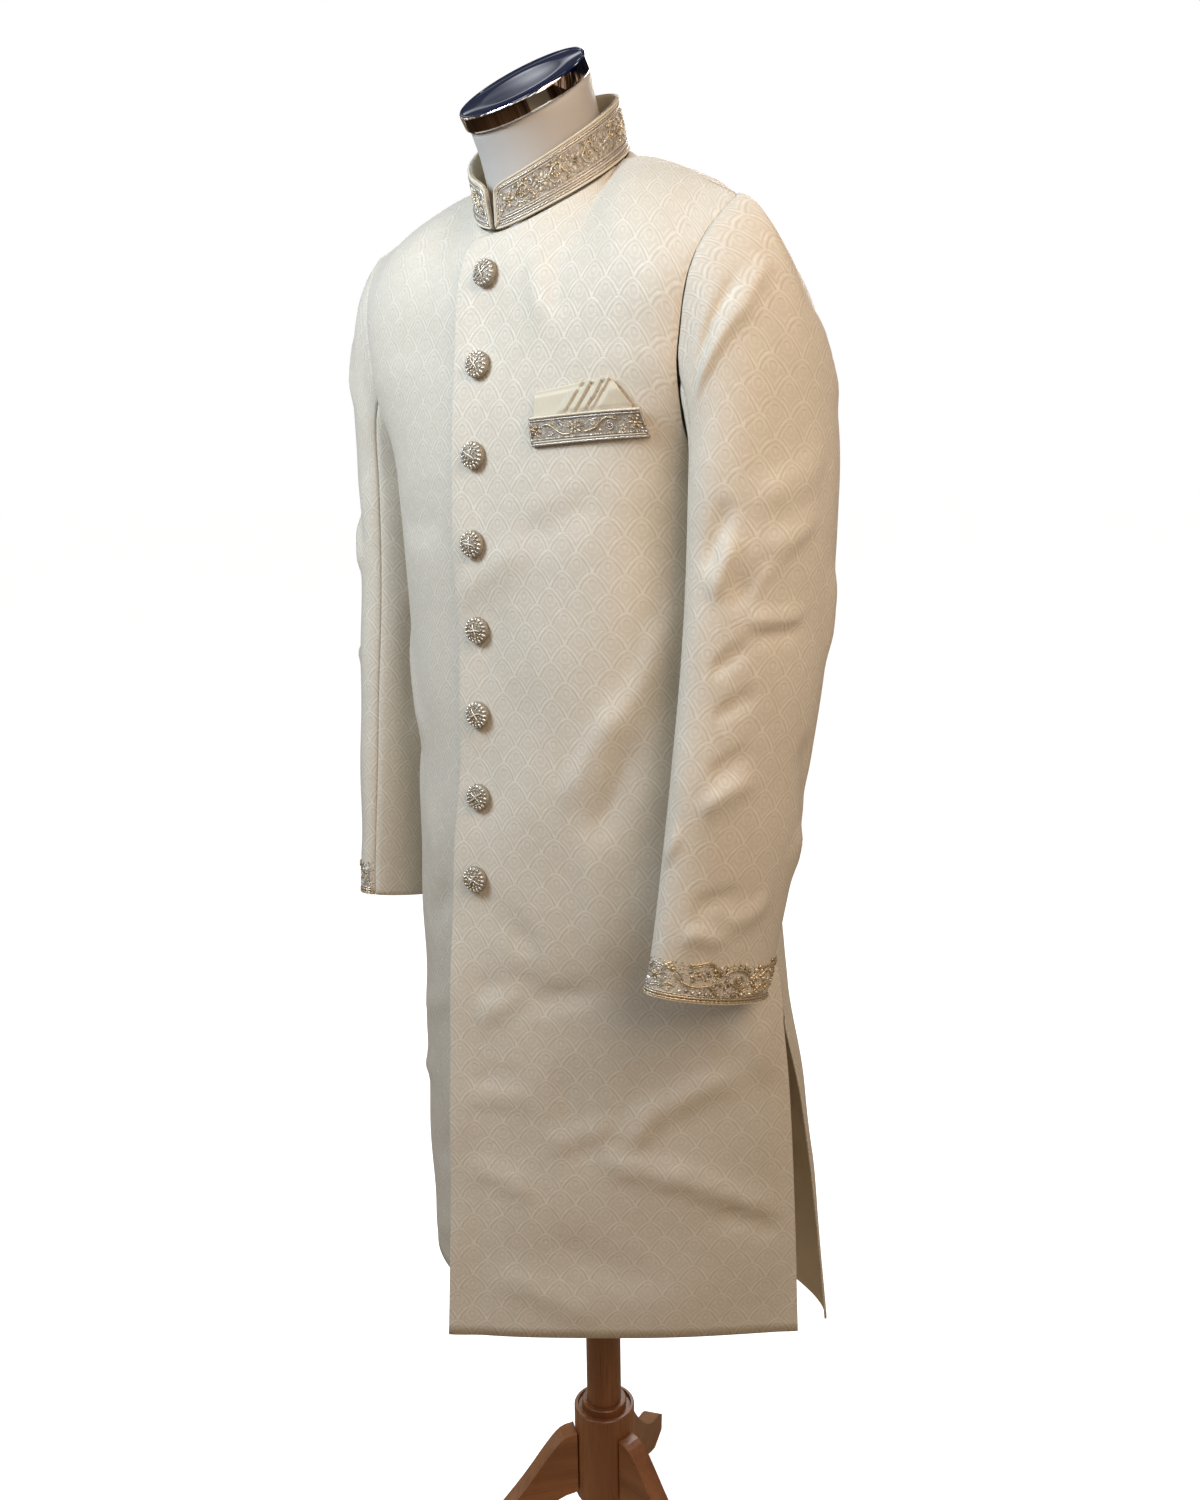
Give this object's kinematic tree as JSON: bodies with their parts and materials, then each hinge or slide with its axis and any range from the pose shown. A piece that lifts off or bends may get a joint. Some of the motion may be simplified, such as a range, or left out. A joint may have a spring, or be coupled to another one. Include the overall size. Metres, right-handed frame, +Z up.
{
  "type": "sherwani coat on dress form",
  "caption": "Long jacquard sherwani coat with an embroidered band collar, domed buttons, welt pocket and embroidered cuffs, worn by a limbless dress form on a wooden stand.",
  "frame": {"origin": "on the floor, on the line of the stand's pole", "axes": "+Z up, the coat's front faces -Y, +X is the wearer's left"},
  "size_m": [0.553, 0.39, 1.5695],
  "materials": {
    "cloth": "ivory figured silk blend, soft sheen",
    "embroidery": "silver and antique gold thread and beads on ivory cloth",
    "button": "thread and bead worked dome",
    "form": "smooth off-white",
    "chrome": "polished",
    "wood": "satin varnish, reddish brown"
  },
  "bodies": {
    "root": {"front_left": "cloth", "front_right": "cloth", "back_left": "cloth", "back_right": "cloth", "sleeve_upper_left": "cloth", "sleeve_upper_right": "cloth", "sleeve_under_left": "cloth", "sleeve_under_right": "cloth", "collar": "embroidery", "welt_pocket": "embroidery", "pocket_square": "cloth", "button_1": "button", "button_2": "button", "button_3": "button", "button_4": "button", "button_5": "button", "button_6": "button", "button_7": "button", "button_8": "button", "dress_form": "form", "neck_cap": "chrome", "pole": "wood", "hub": "wood", "leg_1": "wood", "leg_2": "wood", "leg_3": "wood"}
  },
  "joints": []
}
